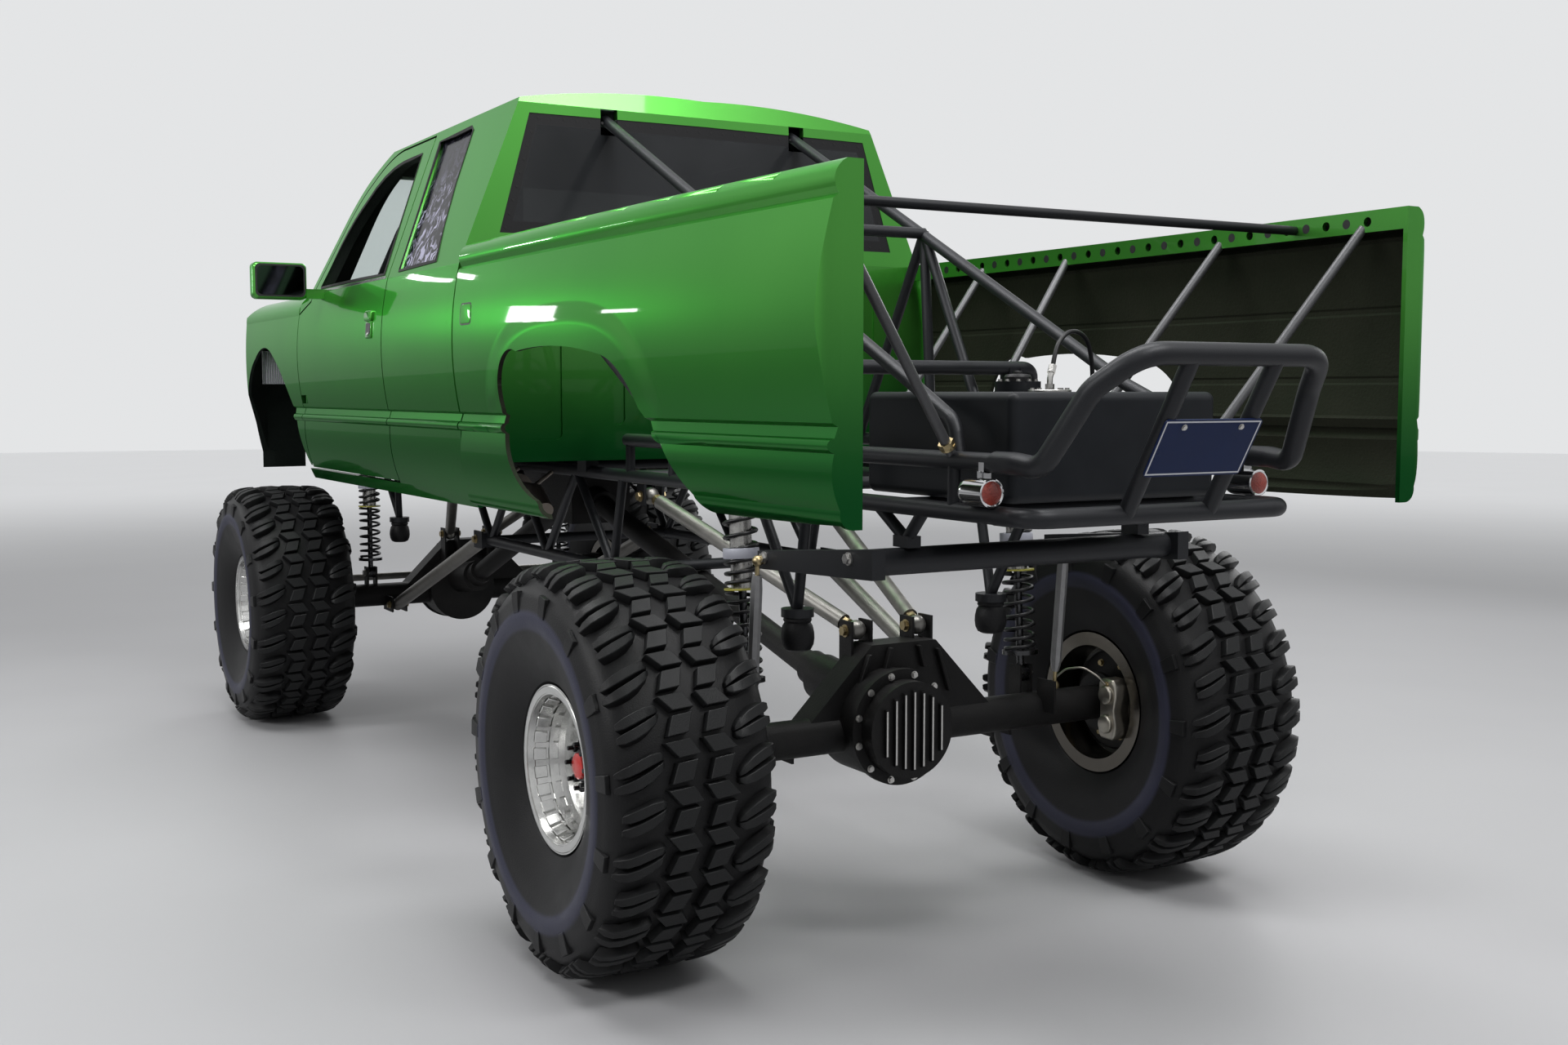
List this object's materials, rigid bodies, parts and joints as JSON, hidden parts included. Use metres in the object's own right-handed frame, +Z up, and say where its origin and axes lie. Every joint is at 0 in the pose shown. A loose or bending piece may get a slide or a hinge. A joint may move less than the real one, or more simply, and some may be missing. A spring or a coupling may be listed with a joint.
{
  "type": "lifted pickup truck",
  "caption": "Extended-cab pickup truck lifted high on a tube frame, with curved open bed sides, a rear tube cage, large lugged tyres, steering, doors and hood that move.",
  "frame": {"origin": "ground level under the middle of the truck", "axes": "+X points to the front of the truck, +Y to its left side, +Z up"},
  "size_m": [6.1619, 2.472, 2.6143],
  "materials": {
    "tyre": "matte",
    "polished_alloy": "polished",
    "body_paint": "gloss",
    "frame_coat": "satin",
    "strut_grey": "satin",
    "black_steel": "satin",
    "damper_silver": "satin",
    "exhaust_steel": "satin",
    "clear_glass": "gloss",
    "smoked_plastic": "gloss",
    "lamp_chrome": "polished",
    "plate_white": "satin",
    "cabin_trim": "matte"
  },
  "bodies": {
    "chassis": {"bed_side_left": "body_paint", "bed_side_right": "body_paint", "bed_struts": "strut_grey", "bump_stops": "black_steel", "cab_back": "body_paint", "cab_cage": "frame_coat", "cab_floor": "cabin_trim", "cab_front": "body_paint", "cab_glass": "clear_glass", "cab_roof": "body_paint", "cab_side_left": "body_paint", "cab_side_right": "body_paint", "calipers_rear": "damper_silver", "dashboard": "cabin_trim", "drive_shafts": "black_steel", "drop_links": "strut_grey", "engine": "black_steel", "exhaust": "exhaust_steel", "fender_left": "body_paint", "fender_right": "body_paint", "frame_front": "frame_coat", "frame_middle": "frame_coat", "frame_rear": "frame_coat", "front_axle": "black_steel", "front_bumper": "frame_coat", "fuel_tank": "damper_silver", "gearbox": "black_steel", "grille": "body_paint", "head_lamps": "lamp_chrome", "links_front": "strut_grey", "links_rear": "strut_grey", "plate_blank": "plate_white", "rear_axle": "black_steel", "rear_bumper": "frame_coat", "rear_cage": "frame_coat", "rear_window": "smoked_plastic", "roll_bar": "frame_coat", "seats": "cabin_trim", "shocks_front": "damper_silver", "shocks_rear": "damper_silver", "sills": "body_paint", "springs": "black_steel", "steering_wheel": "cabin_trim", "tail_lamps": "lamp_chrome"},
    "wheel_rear_left": {"rim_rear_left": "polished_alloy", "tyre_rear_left": "tyre"},
    "wheel_rear_right": {"rim_rear_right": "polished_alloy", "tyre_rear_right": "tyre"},
    "wheel_front_left": {"rim_front_left": "polished_alloy", "tyre_front_left": "tyre"},
    "wheel_front_right": {"rim_front_right": "polished_alloy", "tyre_front_right": "tyre"},
    "knuckle_left": {"knuckle_left": "black_steel"},
    "knuckle_right": {"knuckle_right": "black_steel"},
    "tie_rod": {"tie_rod": "strut_grey"},
    "door_left": {"door_left": "body_paint", "mirror_left": "body_paint"},
    "door_right": {"door_right": "body_paint", "mirror_right": "body_paint"},
    "hood": {"hood": "body_paint"}
  },
  "joints": [
    {"name": "wheel_rear_left_spin", "type": "hinge", "parent": "chassis", "child": "wheel_rear_left", "pos_m": [-1.709, 0.936, 0.559], "axis": [0, 1, 0], "continuous": true},
    {"name": "wheel_rear_right_spin", "type": "hinge", "parent": "chassis", "child": "wheel_rear_right", "pos_m": [-1.709, -0.936, 0.559], "axis": [0, 1, 0], "continuous": true},
    {"name": "steer_left", "type": "hinge", "parent": "chassis", "child": "knuckle_left", "pos_m": [2.214, 0.7, 0.559], "axis": [0, 0, 1], "range_deg": [-30, 30]},
    {"name": "steer_right", "type": "hinge", "parent": "chassis", "child": "knuckle_right", "pos_m": [2.214, -0.7, 0.559], "axis": [0, 0, 1], "range_deg": [-30, 30]},
    {"name": "wheel_front_left_spin", "type": "hinge", "parent": "knuckle_left", "child": "wheel_front_left", "pos_m": [2.214, 0.936, 0.559], "axis": [0, 1, 0], "continuous": true},
    {"name": "wheel_front_right_spin", "type": "hinge", "parent": "knuckle_right", "child": "wheel_front_right", "pos_m": [2.214, -0.936, 0.559], "axis": [0, 1, 0], "continuous": true},
    {"name": "tie_rod_swing", "type": "hinge", "parent": "knuckle_left", "child": "tie_rod", "pos_m": [2.476, 0.7, 0.6193], "axis": [0, 0, 1], "range_deg": [-30, 30]},
    {"name": "door_left_swing", "type": "hinge", "parent": "chassis", "child": "door_left", "pos_m": [1.576, 0.94, 1.679], "axis": [0, 0, -1], "range_deg": [0, 65]},
    {"name": "door_right_swing", "type": "hinge", "parent": "chassis", "child": "door_right", "pos_m": [1.576, -0.94, 1.679], "axis": [0, 0, 1], "range_deg": [0, 65]},
    {"name": "hood_swing", "type": "hinge", "parent": "chassis", "child": "hood", "pos_m": [1.753, 0, 1.981], "axis": [0, -1, 0], "range_deg": [0, 55]}
  ],
  "couplings": [
    {"joint": "steer_right", "follows": "steer_left", "ratio": 1},
    {"joint": "tie_rod_swing", "follows": "steer_left", "ratio": -1}
  ]
}
